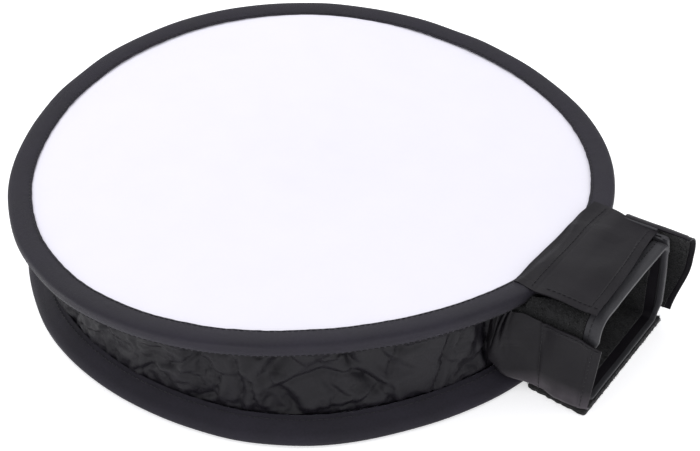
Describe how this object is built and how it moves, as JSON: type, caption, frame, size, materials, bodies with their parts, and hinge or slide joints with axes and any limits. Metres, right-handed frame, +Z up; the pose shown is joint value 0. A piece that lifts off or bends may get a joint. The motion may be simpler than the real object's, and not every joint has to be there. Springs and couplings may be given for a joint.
{
  "type": "collapsible flash softbox",
  "caption": "Round collapsible softbox: white diffuser on a spring hoop, cloth side wall, dark back on a second hoop, and a strap-closed neck that wraps a camera flash.",
  "frame": {"origin": "on the surface the softbox lies on, below the centre of the two hoops, where the back panel is flat", "axes": "+Z up through the diffuser, the way the light leaves; +X along the neck towards its mouth; +Y towards the neck's far wing"},
  "size_m": [0.3413, 0.3024, 0.0568],
  "materials": {
    "black_tape": "satin woven binding tape",
    "black_nylon": "thin coated nylon with a soft sheen",
    "black_pile": "brushed hook-and-loop tape",
    "grey_trim": "dark grey bound edge",
    "white_cloth": "matte translucent diffusing nylon",
    "silver_cloth": "silver coated lining",
    "spring_steel": "flat spring wire",
    "crimp_steel": "crimped ferrule"
  },
  "bodies": {
    "rear": {"rear_hoop": "spring_steel", "rear_hoop_ferrule": "crimp_steel", "rear_binding": "black_tape", "rear_panel": "black_nylon", "rear_reflector": "silver_cloth", "neck_floor": "black_nylon", "neck_floor_lining": "black_pile", "lip_floor": "grey_trim", "floor_loop_pad": "black_pile", "side_wall": "black_nylon", "side_reflector": "silver_cloth", "neck_near_wall": "black_nylon", "neck_far_wall": "black_nylon", "neck_near_lining": "black_pile", "neck_far_lining": "black_pile", "near_gusset": "black_nylon", "far_gusset": "black_nylon", "near_loop_patch": "black_pile", "far_loop_patch": "black_pile", "lip_near": "grey_trim", "lip_far": "grey_trim"},
    "front": {"front_hoop": "spring_steel", "front_hoop_ferrule": "crimp_steel", "front_binding": "black_tape", "diffuser": "white_cloth", "neck_roof": "black_nylon", "neck_roof_lining": "black_pile", "lip_roof": "grey_trim", "flap_anchor": "black_nylon"},
    "top_flap": {"top_flap_panel": "black_nylon", "top_flap_hook": "black_pile", "far_fold_hem": "grey_trim"},
    "far_wing": {"far_wing_panel": "black_nylon", "far_wing_hook": "black_pile"},
    "near_wing": {"near_wing_panel": "black_nylon", "near_wing_hook": "black_pile"}
  },
  "joints": [
    {"name": "front_collapse", "type": "slide", "parent": "rear", "child": "front", "axis": [0, 0, 1], "range_m": [-0.038, 0], "stiffness_N_per_m": 40, "springref_m": 0.02, "deforming": ["side_wall", "side_reflector", "neck_near_wall", "neck_far_wall", "neck_near_lining", "neck_far_lining", "near_gusset", "far_gusset", "near_loop_patch", "far_loop_patch", "lip_near", "lip_far"]},
    {"name": "top_flap_lift", "type": "hinge", "parent": "front", "child": "top_flap", "pos_m": [0.148, 0, 0.0566], "axis": [0, -1, 0], "range_deg": [0, 110]},
    {"name": "far_wing_open", "type": "hinge", "parent": "top_flap", "child": "far_wing", "pos_m": [0.174, 0.0369, 0.0561], "axis": [1, 0, 0], "range_deg": [0, 100]},
    {"name": "near_wing_open", "type": "hinge", "parent": "rear", "child": "near_wing", "pos_m": [0.168, -0.0386, 0.0046], "axis": [1, 0, 0], "range_deg": [0, 90]}
  ]
}
